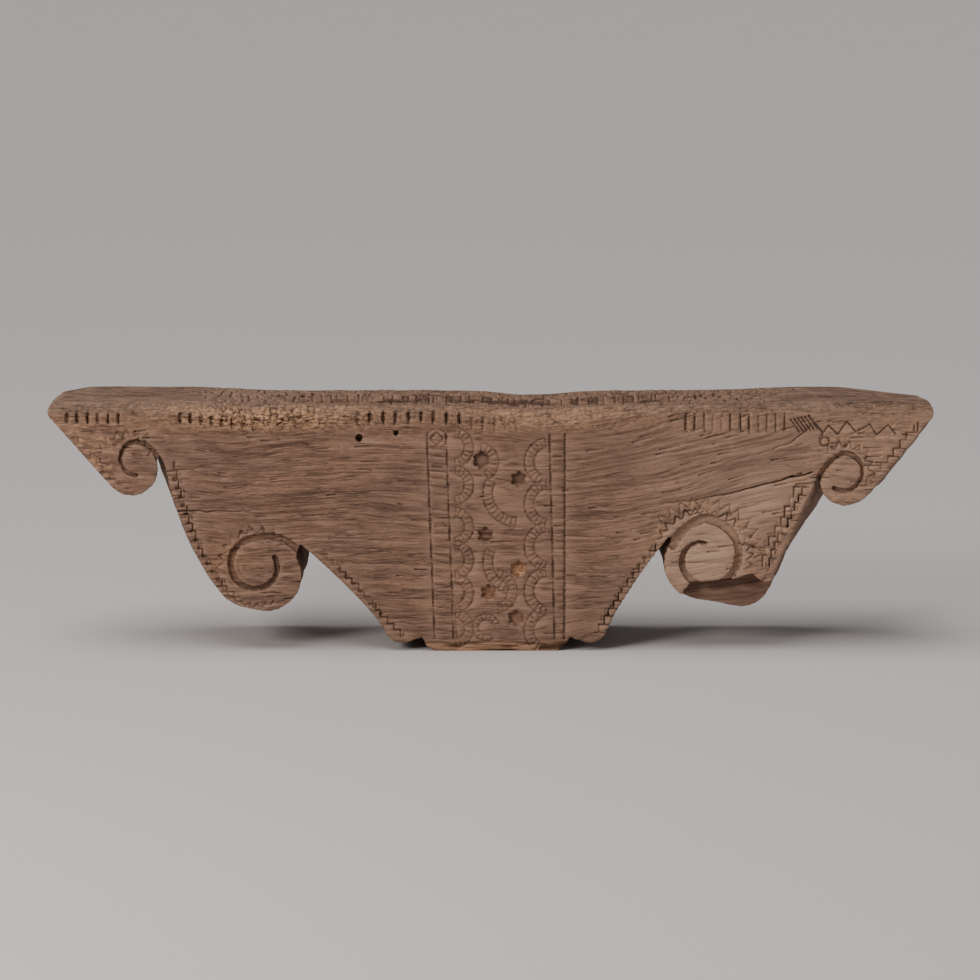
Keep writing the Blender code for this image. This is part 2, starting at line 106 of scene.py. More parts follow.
def smoothstep(low, high, value):
    """Rises smoothly from 0 at low to 1 at high."""
    share = np.clip((value - low) / (high - low), 0.0, 1.0)
    return share * share * (3.0 - 2.0 * share)


def bump(value, middle, reach):
    """A smooth bump of height 1 round a middle."""
    return np.exp(-((value - middle) / reach) ** 2)


def noise(seed, across, up):
    """Smooth noise from -1 to 1 with features about one unit wide."""
    table = np.random.default_rng(seed).uniform(-1.0, 1.0, (128, 128))
    i, j = np.floor(across).astype(int), np.floor(up).astype(int)
    u, v = smoothstep(0, 1, across - i), smoothstep(0, 1, up - j)
    i0, i1, j0, j1 = i % 128, (i + 1) % 128, j % 128, (j + 1) % 128
    low = table[i0, j0] * (1 - u) + table[i1, j0] * u
    high = table[i0, j1] * (1 - u) + table[i1, j1] * u
    return low * (1 - v) + high * v


def layered(seed, across, up, octaves=3):
    """Noise with finer and weaker noise on top of it."""
    total = 0.0
    for k in range(octaves):
        total = total + noise(seed + k, across * 2 ** k, up * 2 ** k) / 2 ** k
    return total


def cracked_blocks(seed, across, up):
    """How far inside irregular blocks one unit wide each place is, and its block's tone."""
    jitter = np.random.default_rng(seed).uniform(0.1, 0.9, (64, 64, 3))
    i, j = np.floor(across).astype(int), np.floor(up).astype(int)
    first = np.full(across.shape, 9.0)
    second = np.full(across.shape, 9.0)
    tone = np.zeros(across.shape)
    for di in (-1, 0, 1):
        for dj in (-1, 0, 1):
            point = jitter[(i + di) % 64, (j + dj) % 64]
            gap = np.hypot(across - (i + di) - point[..., 0], up - (j + dj) - point[..., 1])
            nearer = gap < first
            second = np.where(nearer, first, np.minimum(second, gap))
            tone = np.where(nearer, point[..., 2], tone)
            first = np.where(nearer, gap, first)
    return second - first, tone


def rotted_blocks(seed, across, up):
    """Like cracked_blocks, but with the blocks in rows along the grain, as rot splits old timber."""
    random = np.random.default_rng(seed)
    shift = random.uniform(0.0, 1.0, 64)
    jitter = random.uniform(-0.3, 0.3, (64, 64))
    tones = random.uniform(0.0, 1.0, (64, 64))
    up = up + 0.30 * noise(seed + 1, across * 0.6, up * 0.3)
    j = np.floor(up).astype(int)
    along = across * (0.75 + 0.5 * shift[j % 64]) + 9.0 * shift[(3 * j) % 64]
    i = np.floor(along).astype(int)
    before = along - i - jitter[i % 64, j % 64]
    after = i + 1 - along + jitter[(i + 1) % 64, j % 64]
    block = np.where(before < 0, i - 1, np.where(after < 0, i + 1, i))
    from_ends = np.minimum(np.abs(before), np.abs(after)) * 1.6
    from_sides = np.minimum(up - j, j + 1 - up)
    return 2 * np.minimum(from_ends, from_sides), tones[block % 64, j % 64]


def away(x, z, centre):
    """How far places on the face are from a centre."""
    return np.hypot(x - centre[0], z - centre[1])


def polar(centre, radius, degrees):
    """The place at a distance and a direction from a centre."""
    angle = math.radians(degrees)
    return centre[0] + radius * math.cos(angle), centre[1] + radius * math.sin(angle)


def arc(centre, radius, start, stop, step=8.0):
    """Points along an arc, both ends included."""
    count = max(2, round(abs(stop - start) / step))
    return [polar(centre, radius, start + (stop - start) * i / count) for i in range(count + 1)]


class Relief:
    """A map of how deep the surface is sunk, over a flat rectangle of it."""

    def __init__(self, low, high):
        self.low = low
        self.count = [round((high[k] - low[k]) / CELL) + 1 for k in (0, 1)]
        lines = [low[k] + CELL * np.arange(self.count[k]) for k in (0, 1)]
        self.across, self.up = np.meshgrid(lines[0], lines[1], indexing="ij")
        self.depth = np.zeros(self.across.shape)

    def window(self, points, margin):
        """The cells round some points."""
        spans = []
        for k in (0, 1):
            values = [point[k] for point in points]
            start = int((min(values) - margin - self.low[k]) / CELL)
            stop = int((max(values) + margin - self.low[k]) / CELL) + 2
            spans.append(slice(max(start, 0), min(stop, self.count[k])))
        return tuple(spans)

    def line(self, points, width, depth, width_end=None):
        """Cuts a groove with a rounded V section along a line of points."""
        last = len(points) - 1
        for i in range(last):
            (ax, ay), (bx, by) = points[i], points[i + 1]
            here = self.window(points[i:i + 2], width)
            x, y = self.across[here], self.up[here]
            run, rise = bx - ax, by - ay
            along = ((x - ax) * run + (y - ay) * rise) / max(run * run + rise * rise, 1e-12)
            along = np.clip(along, 0.0, 1.0)
            gap = np.hypot(x - ax - along * run, y - ay - along * rise)
            taper = width + ((width_end or width) - width) * (i + along) / last
            sunk = depth * taper / width * np.clip(1.15 - 2 * gap / taper, 0.0, 1.0)
            self.depth[here] = np.maximum(self.depth[here], sunk)

    def chip(self, corners, depth, slope):
        """Cuts a chip with flat sides, given its corners anticlockwise."""
        here = self.window(corners, CELL)
        x, y = self.across[here], self.up[here]
        inside = np.full(x.shape, 1.0)
        for (ax, ay), (bx, by) in zip(corners, corners[1:] + corners[:1]):
            length = math.hypot(bx - ax, by - ay)
            inside = np.minimum(inside, ((bx - ax) * (y - ay) - (by - ay) * (x - ax)) / length)
        sunk = np.clip(inside * slope, 0.0, depth)
        self.depth[here] = np.maximum(self.depth[here], sunk)

    def sample(self, x, y):
        """The depth at many places, blended between cells."""
        u = np.clip((x - self.low[0]) / CELL, 0, self.count[0] - 1.001)
        v = np.clip((y - self.low[1]) / CELL, 0, self.count[1] - 1.001)
        i, j = u.astype(int), v.astype(int)
        u, v = u - i, v - j
        return ((self.depth[i, j] * (1 - u) + self.depth[i + 1, j] * u) * (1 - v)
                + (self.depth[i, j + 1] * (1 - u) + self.depth[i + 1, j + 1] * u) * v)


def wandering(points, seed, sway):
    """A line of points made uneven, as a crack or a hand-cut line is."""
    random = np.random.default_rng(seed)
    result = [points[0]]
    for (ax, ay), (bx, by) in zip(points, points[1:]):
        length = math.hypot(bx - ax, by - ay)
        count = max(1, round(length / 0.010))
        for k in range(1, count + 1):
            off = sway * random.uniform(-1, 1) * (k < count)
            share = k / count
            result.append((ax + (bx - ax) * share - (by - ay) / length * off,
                           ay + (by - ay) * share + (bx - ax) / length * off))
    return result


def spaced(line, pitch):
    """Evenly spaced places on a line of points."""
    lengths = [0.0]
    for near, far in zip(line, line[1:]):
        lengths.append(lengths[-1] + math.dist(near, far))
    count = max(1, round(lengths[-1] / pitch))
    places = []
    for i in range(count + 1):
        goal = min(i * lengths[-1] / count, lengths[-1] - 1e-6)
        j = max(k for k in range(len(line) - 1) if lengths[k] <= goal)
        share = (goal - lengths[j]) / (lengths[j + 1] - lengths[j])
        places.append(tuple(line[j][k] + share * (line[j + 1][k] - line[j][k]) for k in (0, 1)))
    return places


def step_border(face, line, reach, size, depth, seed):
    """Cuts level and upright crow steps beside an edge, with a tick from each towards the edge."""
    random = np.random.default_rng(seed)
    places = [(x + reach + random.uniform(-0.001, 0.001), z + random.uniform(-0.001, 0.001))
              for x, z in spaced(line, size)]
    for (ax, az), (bx, bz) in zip(places, places[1:]):
        strength = 1.35 * depth * random.uniform(0.6, 1.2)
        face.line([(ax, az), (ax, bz)], 0.0026, strength)
        face.line([(ax, bz), (bx, bz)], 0.0030, strength)
        tick = (ax - reach * random.uniform(0.5, 0.9), bz - 0.001)
        face.line([(ax, bz), tick], 0.0028, strength, 0.0020)
        if random.uniform() < 0.5:
            scratch = [(ax + 0.3 * reach, az), (ax + 0.4 * reach, 0.5 * (az + bz))]
            face.line(scratch, 0.0020, 0.6 * strength)


def ray_border(face, centre, radius, start, stop, size, depth, seed):
    """Cuts a ring of uneven pointed rays round a volute."""
    random = np.random.default_rng(seed)
    count = round(math.radians(abs(stop - start)) * radius / size)
    for i in range(count):
        low, middle, high = [start + (stop - start) * (i + k) / count for k in (0.05, 0.5, 0.95)]
        tip = polar(centre, radius + size * random.uniform(0.6, 0.95), middle + random.uniform(-2, 2))
        strength = depth * random.uniform(0.55, 1.15)
        face.line([polar(centre, radius, low), tip], 0.0024, strength)
        face.line([tip, polar(centre, radius, high)], 0.0024, strength)
        if random.uniform() < 0.6:
            face.chip([polar(centre, radius + 0.001, angle) for angle in sorted((low, high))]
                      + [polar(centre, radius + 0.4 * size, middle)], 0.0020, 0.7)


def carve_panel(face):
    """Cuts the ticks across the ring bands, and the small figures of the panel."""
    height = PANEL_TOP - PANEL_LOW
    middle = RIGHT_LADDER - 1.3 * RING_RADIUS
    random = np.random.default_rng(19)
    bands = [(LEFT_LADDER, share, 0.8, -84, 84) for share in (0.93, 0.75, 0.55, 0.39, 0.23, 0.06)]
    bands += [(RIGHT_LADDER, share, 1.0, 100, 260) for share in (0.86, 0.66, 0.455, 0.24, 0.05)]
    bands += [(middle, 0.71, 1.35, 155, 268), (middle, 0.38, 1.35, 155, 255)]
    bands += [(-0.016, 0.86, 0.80, -60, 78), (0.006, 0.24, 0.90, -80, 80), (-0.006, 0.065, 0.55, 20, 300)]
    for x, share, size, start, stop in bands:
        centre = (x, PANEL_LOW + height * share)
        radius = size * RING_RADIUS
        inner = radius - min(RING_BAND, 0.45 * radius)
        for reach in (radius, inner):
            face.line(wandering(arc(centre, reach, start, stop), 29, 0.0003), 0.0023, 0.0017)
        count = round(math.radians(stop - start) * radius / 0.0078)
        for i in range(count + 1):
            angle = start + (stop - start) * i / count + random.uniform(-1.5, 1.5)
            face.line([polar(centre, inner, angle), polar(centre, radius, angle)],
                      0.0022, 0.0016 * random.uniform(0.5, 1.2))
    rosette = (-0.073, 0.294)
    face.line([polar(rosette, 0.009, 90 * i) for i in range(5)], 0.0026, 0.0022)
    face.line(arc(rosette, 0.0135, 0, 360), 0.0024, 0.0018)


def carve_borders(face):
    """Cuts the crow-step borders along the legs, the slopes and round the volutes."""
    left_leg = [(-0.440, 0.262), (-0.432, 0.226), (-0.418, 0.178), (-0.399, 0.132), (-0.374, 0.092),
                (-0.352, 0.074)]
    right_leg = [(0.392, 0.118), (0.402, 0.150), (0.417, 0.174), (0.428, 0.200), (0.440, 0.228)]
    left_slope = [(-0.136, 0.020), (-0.168, 0.054), (-0.196, 0.088), (-0.222, 0.116), (-0.244, 0.134)]
    right_slope = [(0.238, 0.148), (0.208, 0.112), (0.188, 0.082), (0.168, 0.048), (0.156, 0.026)]
    step_border(face, left_leg, 0.012, 0.0125, 0.0024, 71)
    step_border(face, right_leg, -0.013, 0.0125, 0.0032, 72)
    step_border(face, [(x - 0.008, z) for x, z in right_leg], -0.014, 0.0150, 0.0026, 73)
    step_border(face, left_slope, 0.012, 0.0120, 0.0022, 74)
    step_border(face, right_slope, -0.013, 0.0120, 0.0028, 75)
    ray_border(face, LEFT_BIG, 0.045, 190, 40, 0.0130, 0.0022, 76)
    ray_border(face, RIGHT_BIG, 0.061, 165, -15, 0.0125, 0.0032, 77)
    ray_border(face, RIGHT_BIG, 0.072, 140, 0, 0.0150, 0.0022, 78)
    ray_border(face, LEFT_SMALL, 0.032, 180, 10, 0.0120, 0.0020, 79)
    ray_border(face, RIGHT_SMALL, 0.034, 150, -30, 0.0125, 0.0028, 80)
    left_end = [(-0.570, 0.296), (-0.545, 0.266), (-0.520, 0.238)]
    right_end = [(0.585, 0.312), (0.560, 0.282), (0.530, 0.246), (0.515, 0.230)]
    step_border(face, left_end, 0.012, 0.0130, 0.0016, 81)
    step_border(face, right_end, -0.013, 0.0130, 0.0022, 82)
    carve_herringbone(face)


def carve_herringbone(face):
    """Cuts a row of small angles under the left big volute."""
    for i in range(8):
        direction = 205 + 12 * i
        middle = polar(LEFT_DISC, 0.057, direction)
        for turn in (130, 250):
            face.line([middle, polar(middle, 0.008, direction + turn)], 0.0026, 0.0022)


def carve_notches(face):
    """Cuts the rows of upright notches under the top edge: soft dents at the left, lines at the right."""
    random = np.random.default_rng(17)
    # First notch, number of notches, pitch, top and foot of each row
    rows = ((-0.573, 6, 0.0140, 0.331, 0.316), (-0.420, 8, 0.0143, 0.330, 0.314),
            (-0.180, 9, 0.0172, 0.331, 0.314), (-0.026, 5, 0.0152, 0.318, 0.304),
            (0.264, 12, 0.0122, 0.324, 0.303))
    for first, count, pitch, top, foot in rows:
        for i in range(count):
            x = first + pitch * i + random.uniform(-0.001, 0.001)
            reach = random.uniform(-0.002, 0.002)
            line = [(x, top + 0.004), (x + random.uniform(-0.001, 0.001), foot + reach)]
            strength = random.uniform(0.5, 1.1)
            if first < 0:
                face.line(line, 0.0070, 0.0044 * strength, 0.0036)
            else:
                face.line(wandering(line, 180 + i, 0.0004), 0.0026, 0.0030 * strength)
                if i % 3 != 1:
                    barb = (line[1][0] + 0.0035, line[1][1] + 0.001)
                    face.line([line[1], barb], 0.0022, 0.0026 * strength)


def carve_frieze(face):
    """Cuts the chevrons, the zigzag and the small marks of the right end, and the left inner spiral."""
    for i in range(6):
        x = 0.406 + 0.0048 * i
        face.line([(x, 0.320 + 0.001 * i), (x + 0.012, 0.303 + 0.001 * i)], 0.0028, 0.0034)
    face.line([(0.430, 0.326), (0.449, 0.303), (0.449, 0.294)], 0.0032, 0.0032)
    face.line([(0.457, 0.312), (0.470, 0.300), (0.482, 0.318), (0.494, 0.303), (0.513, 0.314),
               (0.522, 0.299), (0.538, 0.313), (0.548, 0.300)], 0.0028, 0.0030)
    face.line([(0.457, 0.312), (0.449, 0.300)], 0.0026, 0.0028)
    face.line(arc((0.452, 0.290), 0.0062, 0, 360, 20), 0.0028, 0.0032)
    face.line([(0.578, 0.316), (0.578, 0.303)], 0.0028, 0.0030)
    spiral = [polar(LEFT_DISC, 0.026 - 0.004 * i / 12, 165 + 11 * i) for i in range(9)]
    face.line(spiral, 0.0018, 0.0016)


def carve_ladders(face):
    """Cuts the two ladders of the panel: their upright lines, the double foot line and the rungs."""
    left_outer, left_inner = [(-0.086, 0.304), (-0.076, 0.020)], [(-0.060, 0.300), (-0.050, 0.016)]
    right_inner, right_outer = [(0.080, 0.300), (0.088, 0.016)], [(0.101, 0.300), (0.101, 0.016)]
    for number, line in enumerate((left_outer, left_inner, right_inner, right_outer)):
        face.line(wandering(line, 110 + number, 0.0005), 0.0024, 0.0014)
    face.line([(-0.0525, 0.110), (-0.046, 0.016)], 0.0022, 0.0018)
    for outer, inner in ((left_outer, left_inner), (right_outer, right_inner)):
        for i in range(1, 27):
            share = i / 27
            ends = [(line[0][0] + (line[1][0] - line[0][0]) * share,
                     line[0][1] + (line[1][1] - line[0][1]) * share) for line in (outer, inner)]
            face.line(ends, 0.0024, 0.0013)


def crack_lines(face):
    """Cuts the drying cracks, each wandering along the grain, with its width and depth."""
    long_crack = [(0.436, 0.248), (0.374, 0.232), (0.338, 0.222), (0.285, 0.211), (0.230, 0.204)]
    cracks = (([(-0.425, 0.194), (-0.326, 0.194)], 0.0026, 0.0050),
              (long_crack, 0.0026, 0.0055),
              ([(0.432, 0.310), (0.407, 0.289), (0.373, 0.277), (0.311, 0.259)], 0.0026, 0.0030),
              ([(0.338, 0.148), (0.379, 0.143), (0.393, 0.146)], 0.0030, 0.0040),
              ([(-0.258, 0.189), (-0.177, 0.190), (-0.123, 0.181), (-0.055, 0.177)], 0.0022, 0.0024),
              ([(-0.258, 0.160), (-0.064, 0.149)], 0.0020, 0.0020),
              ([(0.101, 0.181), (0.230, 0.186)], 0.0020, 0.0020),
              ([(0.101, 0.160), (0.203, 0.157)], 0.0026, 0.0024),
              ([(0.101, 0.236), (0.149, 0.233)], 0.0024, 0.0024),
              ([(0.000, 0.152), (0.094, 0.153)], 0.0024, 0.0026),
              ([(0.247, 0.123), (0.330, 0.122)], 0.0022, 0.0026),
              ([(0.287, 0.148), (0.300, 0.139)], 0.0020, 0.0022),
              ([(-0.590, 0.305), (-0.515, 0.305)], 0.0020, 0.0016),
              ([(0.470, 0.296), (0.590, 0.322)], 0.0020, 0.0020),
              ([(-0.210, 0.125), (-0.090, 0.119)], 0.0020, 0.0018),
              ([(-0.300, 0.250), (-0.110, 0.247)], 0.0018, 0.0014),
              ([(0.120, 0.110), (0.185, 0.108)], 0.0018, 0.0016))
    for number, (points, width, depth) in enumerate(cracks):
        face.line(wandering(points, 40 + number, 0.0012), width, depth, 0.5 * width)


def grain_checks(face):
    """Cuts many short fine checks along the grain, most of them on the right half and at the ends."""
    random = np.random.default_rng(23)
    for number in range(520):
        x = random.uniform(-0.58, 0.57)
        z = random.uniform(0.02, 0.325)
        share = 0.22 + 0.5 * smoothstep(0.10, 0.35, x) + 0.4 * smoothstep(0.40, 0.50, abs(x))
        length = random.uniform(0.006, 0.030)
        depth = random.uniform(0.0024, 0.0042)
        if random.uniform() > share:
            continue
        rise = float(grain_rise(x + length, z) - grain_rise(x, z))
        line = [(x, z), (x + length, z + rise)]
        face.line(wandering(line, 300 + number, 0.0006), 0.0019, depth, 0.0012)


def grain_rise(x, z):
    """How much higher than level the grain runs at a place, because it waves and climbs to the right."""
    x, z = np.asarray(x), np.asarray(z)
    climb = smoothstep(0.08, 0.50, x) * (0.055 + 0.16 * np.clip(z - 0.20, -0.10, 0.12))
    waves = 0.0065 * layered(3, x / 0.17, z / 0.06, 2) + 0.0020 * noise(9, x / 0.045, z / 0.016)
    return climb + waves


def make_face_map():
    """The relief of the carved face."""
    face = Relief((-LENGTH / 2, 0.0), (LENGTH / 2, HEIGHT))
    carve_ladders(face)
    carve_panel(face)
    carve_borders(face)
    carve_notches(face)
    carve_frieze(face)
    crack_lines(face)
    grain_checks(face)
    x, z = face.across, face.up
    level = z - grain_rise(x, z)
    grain = 0.00030 * noise(21, x / 0.060, level / 0.0045)
    hollow = 0.0012 * np.abs(noise(23, x / 0.090, level / 0.020))
    near_top = smoothstep(0.298, 0.322, z) * (0.15 + bump(x, -0.28, 0.11) + 0.4 * bump(x, 0.05, 0.11))
    edge, tone = cracked_blocks(44, x / 0.0085, z / 0.0045)
    crumbs = near_top * (0.0024 * (1 - smoothstep(0.03, 0.28, edge)) + 0.0028 * np.where(tone > 0.7, 1, 0))
    near_foot = smoothstep(0.018, 0.005, z)
    fibres = near_foot * 0.0040 * np.clip(noise(27, x / 0.025, z / 0.0032) + 0.35, 0.0, 1.2)
    legs = smoothstep(0.24, 0.30, np.abs(x)) * smoothstep(0.17, 0.13, z)
    ends = smoothstep(0.46, 0.52, np.abs(x)) + 0.4 * legs
    chipped = ends * 0.0016 * np.clip(layered(28, x / 0.012, level / 0.006, 2) - 0.15, 0.0, 1.0)
    face.depth += FACE_SKIN + grain + hollow + crumbs + fibres + chipped
    return face


def make_top_map():
    """The relief of the top: rotted into small blocks in the middle, smooth at the ends."""
    top = Relief((-LENGTH / 2, FRONT), (LENGTH / 2, -FRONT))
    x, y = top.across, top.up
    sway = y + 0.004 * noise(31, x / 0.10, y / 0.05)
    zones = np.clip(bump(x, -0.22, 0.18) + 0.9 * bump(x, 0.24, 0.15) + 0.7 * bump(x, 0.02, 0.10), 0.0, 1.0)
    zones = zones * smoothstep(FRONT + 0.026, FRONT + 0.040, y)
    ragged = zones + 0.25 * layered(33, x / 0.05, y / 0.02, 2)
    rot = smoothstep(0.36, 0.58, ragged) * smoothstep(-FRONT - 0.004, -FRONT - 0.020, y)
    edge, tone = rotted_blocks(35, x / 0.0150, sway / 0.0105)
    fine_edge, fine_tone = rotted_blocks(36, x / 0.0070, sway / 0.0055)
    blocks = 0.0062 * (1 - smoothstep(0.06, 0.32, edge)) + 0.0026 * (tone > 0.76) + 0.0022 * tone
    blocks = blocks + 0.0014 * (1 - smoothstep(0.03, 0.30, fine_edge)) + 0.0010 * fine_tone
    grain = 0.0007 * noise(37, x / 0.050, sway / 0.0028) + 0.0004 * noise(38, x / 0.03, sway / 0.0014)
    crumbly = smoothstep(FRONT + 0.034, FRONT + 0.020, y)
    crumbly = crumbly * (0.15 + bump(x, -0.30, 0.11) + 0.4 * bump(x, 0.07, 0.11))
    crumb_edge, crumb_tone = cracked_blocks(43, x / 0.0085, y / 0.0060)
    crumbs = 0.0030 * (1 - smoothstep(0.03, 0.30, crumb_edge)) + 0.0034 * np.where(crumb_tone > 0.66, 1, 0)
    crumbs = crumbly * (crumbs + 0.0022 * np.clip(noise(41, x / 0.018, y / 0.008) + 0.2, 0.0, 1.0))
    top.depth += TOP_SKIN + rot * blocks + grain + crumbs
    crack_top(top)
    return top


def crack_top(top):
    """Cuts the top's cracks: along the grain, across its hollow, and two long ones at the left."""
    for number in range(26):
        random = np.random.default_rng(60 + number)
        start = random.uniform(-0.58, 0.50)
        level = random.uniform(FRONT + 0.035, -FRONT - 0.010)
        reach = random.uniform(0.03, 0.13)
        points = wandering([(start, level), (start + reach, level + random.uniform(-0.003, 0.003))],
                           90 + number, 0.0008)
        top.line(points, 0.0030, random.uniform(0.002, 0.006), 0.0012)
    random = np.random.default_rng(61)
    for number in range(34):
        x = random.uniform(-0.40, 0.42)
        level = random.uniform(-0.035, 0.045)
        points = [(x, level), (x + random.uniform(-0.003, 0.003), level + random.uniform(0.010, 0.026))]
        top.line(wandering(points, 140 + number, 0.0012), 0.0042, random.uniform(0.006, 0.011), 0.0020)
    top.line(wandering([(-0.585, -0.035), (-0.410, -0.037)], 52, 0.0008), 0.0050, 0.0050, 0.0025)
    top.line(wandering([(-0.515, FRONT + 0.012), (-0.390, FRONT + 0.013)], 53, 0.001), 0.0030, 0.0060)


def vertex_arrays(mesh):
    """Places and normals of a mesh's vertices as arrays."""
    places = np.empty(len(mesh.vertices) * 3, dtype=np.float32)
    normals = np.empty(len(mesh.vertices) * 3, dtype=np.float32)
    mesh.vertices.foreach_get("co", places)
    mesh.vertex_normals.foreach_get("vector", normals)
    return places.reshape(-1, 3).astype(float), normals.reshape(-1, 3).astype(float)


def set_places(mesh, places):
    """Moves a mesh's vertices."""
    mesh.vertices.foreach_set("co", places.astype(np.float32).ravel())
    mesh.update()


def applied(piece):
    """The mesh that a piece's modifiers give."""
    result = bpy.data.meshes.new_from_object(piece.evaluated_get(bpy.context.evaluated_depsgraph_get()))
    piece.modifiers.clear()
    old = piece.data
    piece.data = result
    bpy.data.meshes.remove(old)
    return result


def press_relief(mesh):
    """Presses the maps into the face, the top and the broken and sawn sides."""
    places, normals = vertex_arrays(mesh)
    x, y, z = places.T
    face = make_face_map()
    top = make_top_map()
    looks_front = smoothstep(0.30, 0.75, -normals[:, 1])
    looks_up = smoothstep(0.30, 0.75, normals[:, 2]) * smoothstep(0.27, 0.30, z)
    shallow = smoothstep(FRONT + 0.014, FRONT + 0.004, y)
    sunk = looks_front * shallow * face.sample(x, z)
    drop = looks_up * top.sample(x, y)
    broken = looks_front * (1 - shallow)
    fibre = broken * (0.0010 * noise(51, x / 0.035, z / 0.0035) + 0.0010 * noise(52, x / 0.05, z / 0.010))
    side = (1 - looks_up) * (1 - smoothstep(0.75, 0.95, np.abs(normals[:, 1])))
    serrated = np.abs(((x + z) / 0.0125) % 1.0 - 0.5) * smoothstep(FRONT + 0.016, FRONT + 0.008, y)
    uneven = np.clip(layered(55, (x + z) / 0.020, y / 0.030 + z / 0.05, 2), -0.3, 1.0)
    rough = 0.0020 * serrated + 0.0012 * uneven
    above_floor = smoothstep(0.0004, 0.0030, z)
    places[:, 1] += sunk + fibre
    places[:, 2] -= drop
    places -= normals * (side * above_floor * (SIDE_SKIN + rough))[:, None]
    set_places(mesh, np.clip(places, np.array(CAD_LOW), np.array(CAD_HIGH)))
    return face, top


def round_far_corners(mesh):
    """Wears down the back of both ends of the top, where the timber's corners are rounded off."""
    places, _ = vertex_arrays(mesh)
    x, y, z = places.T
    right = smoothstep(0.46, 0.61, x) * smoothstep(-0.06, -FRONT, y) * smoothstep(0.22, HEIGHT, z)
    places[:, 2] -= 0.013 * right
    left = smoothstep(-0.55, -0.60, x) * smoothstep(-0.04, -FRONT, y) * smoothstep(0.25, HEIGHT, z)
    places[:, 2] -= 0.007 * left
    set_places(mesh, places)


def painted_occlusion_shade(mesh):
    """How enclosed each vertex is by surface close in front of it, from 0 to 1, to paint shade into
    hollows.
    """
    places, normals = vertex_arrays(mesh)
    tree = BVHTree.FromPolygons(places.tolist(), [tuple(p.vertices) for p in mesh.polygons])
    tilts = [polar((0.0, 0.0), 1.0, 360 / SHADE_RAYS * k) for k in range(SHADE_RAYS)]
    result = np.zeros(len(places))
    for index, (place, normal) in enumerate(zip(places, normals)):
        up = Vector(normal)
        first = up.orthogonal().normalized()
        second = up.cross(first)
        start = Vector(place) + up * 0.0003
        for cosine, sine in tilts:
            ray = up * 0.55 + (first * cosine + second * sine) * 0.85
            distance = tree.ray_cast(start, ray, SHADE_REACH)[3]
            if distance is not None:
                result[index] += (1.0 - distance / SHADE_REACH) / SHADE_RAYS
    return result


def ridges(mesh):
    """How far each vertex stands out of its neighbours, in metres."""
    places, normals = vertex_arrays(mesh)
    edges = np.empty(len(mesh.edges) * 2, dtype=np.int32)
    mesh.edges.foreach_get("vertices", edges)
    a, b = edges.reshape(-1, 2).T
    total = np.zeros_like(places)
    count = np.zeros(len(places))
    for near, far in ((a, b), (b, a)):
        np.add.at(total, near, places[far])
        np.add.at(count, near, 1)
    return np.einsum("ij,ij->i", places - total / np.maximum(count, 1)[:, None], normals)


def store(mesh, name, values):
    """Keeps one number per vertex for the material."""
    layer = mesh.attributes.new(name, "FLOAT", "POINT")
    layer.data.foreach_set("value", np.asarray(values, dtype=np.float32))


def pale_wear_and_highlight(x, y, z, looks_up, looks_front):
    """Where the wood is rubbed pale: the right disc, the wear beside it, the right half; and a painted
    highlight on its channel.
    """
    disc = smoothstep(0.036, 0.030, away(x, z, RIGHT_DISC)) * looks_front
    worn = np.exp(-((x - 0.370) / 0.060) ** 2 - ((z - 0.205 - 0.2 * (x - 0.37)) / 0.028) ** 2)
    # painted highlight: the channel wall round the right big volute is made paler, as if lit
    lit_channel_highlight = 0.5 * smoothstep(0.066, 0.060, away(x, z, RIGHT_BIG)) * looks_front
    lighter = (0.34 * smoothstep(0.08, 0.30, x) + 0.16 * smoothstep(0.40, 0.50, x)) * (1 - looks_up)
    pale = np.clip(0.9 * disc + 0.75 * worn * looks_front + lit_channel_highlight + lighter, 0.0, 1.0)
    return pale * smoothstep(FRONT + 0.030, FRONT + 0.020, y)


def stained_places(x, y, z):
    """Where the floors of three of the stars are stained orange."""
    stained = np.zeros(len(x))
    floor = smoothstep(FRONT + 0.003, FRONT + 0.005, y)
    for star, strength in (((0.038, 0.113), 0.95), ((-0.004, 0.081), 0.5), ((0.035, 0.045), 0.15)):
        stained = np.maximum(stained, strength * smoothstep(0.013, 0.009, away(x, z, star)) * floor)
    return stained


def chipped_places(x, z):
    """Where small chips are missing: round the right volutes, at both ends and along the right leg."""
    chipped = bump(away(x, z, RIGHT_BIG), 0.070, 0.012) + bump(away(x, z, RIGHT_SMALL), 0.042, 0.012)
    chipped = chipped + smoothstep(0.46, 0.54, x)
    chipped = chipped + smoothstep(-0.47, -0.54, x) + bump(x - 0.55 * (z - 0.19), 0.412, 0.018)
    chipped = chipped * smoothstep(0.065, 0.080, z) * smoothstep(0.325, 0.31, z)
    return np.clip(chipped, 0.0, 1.0)


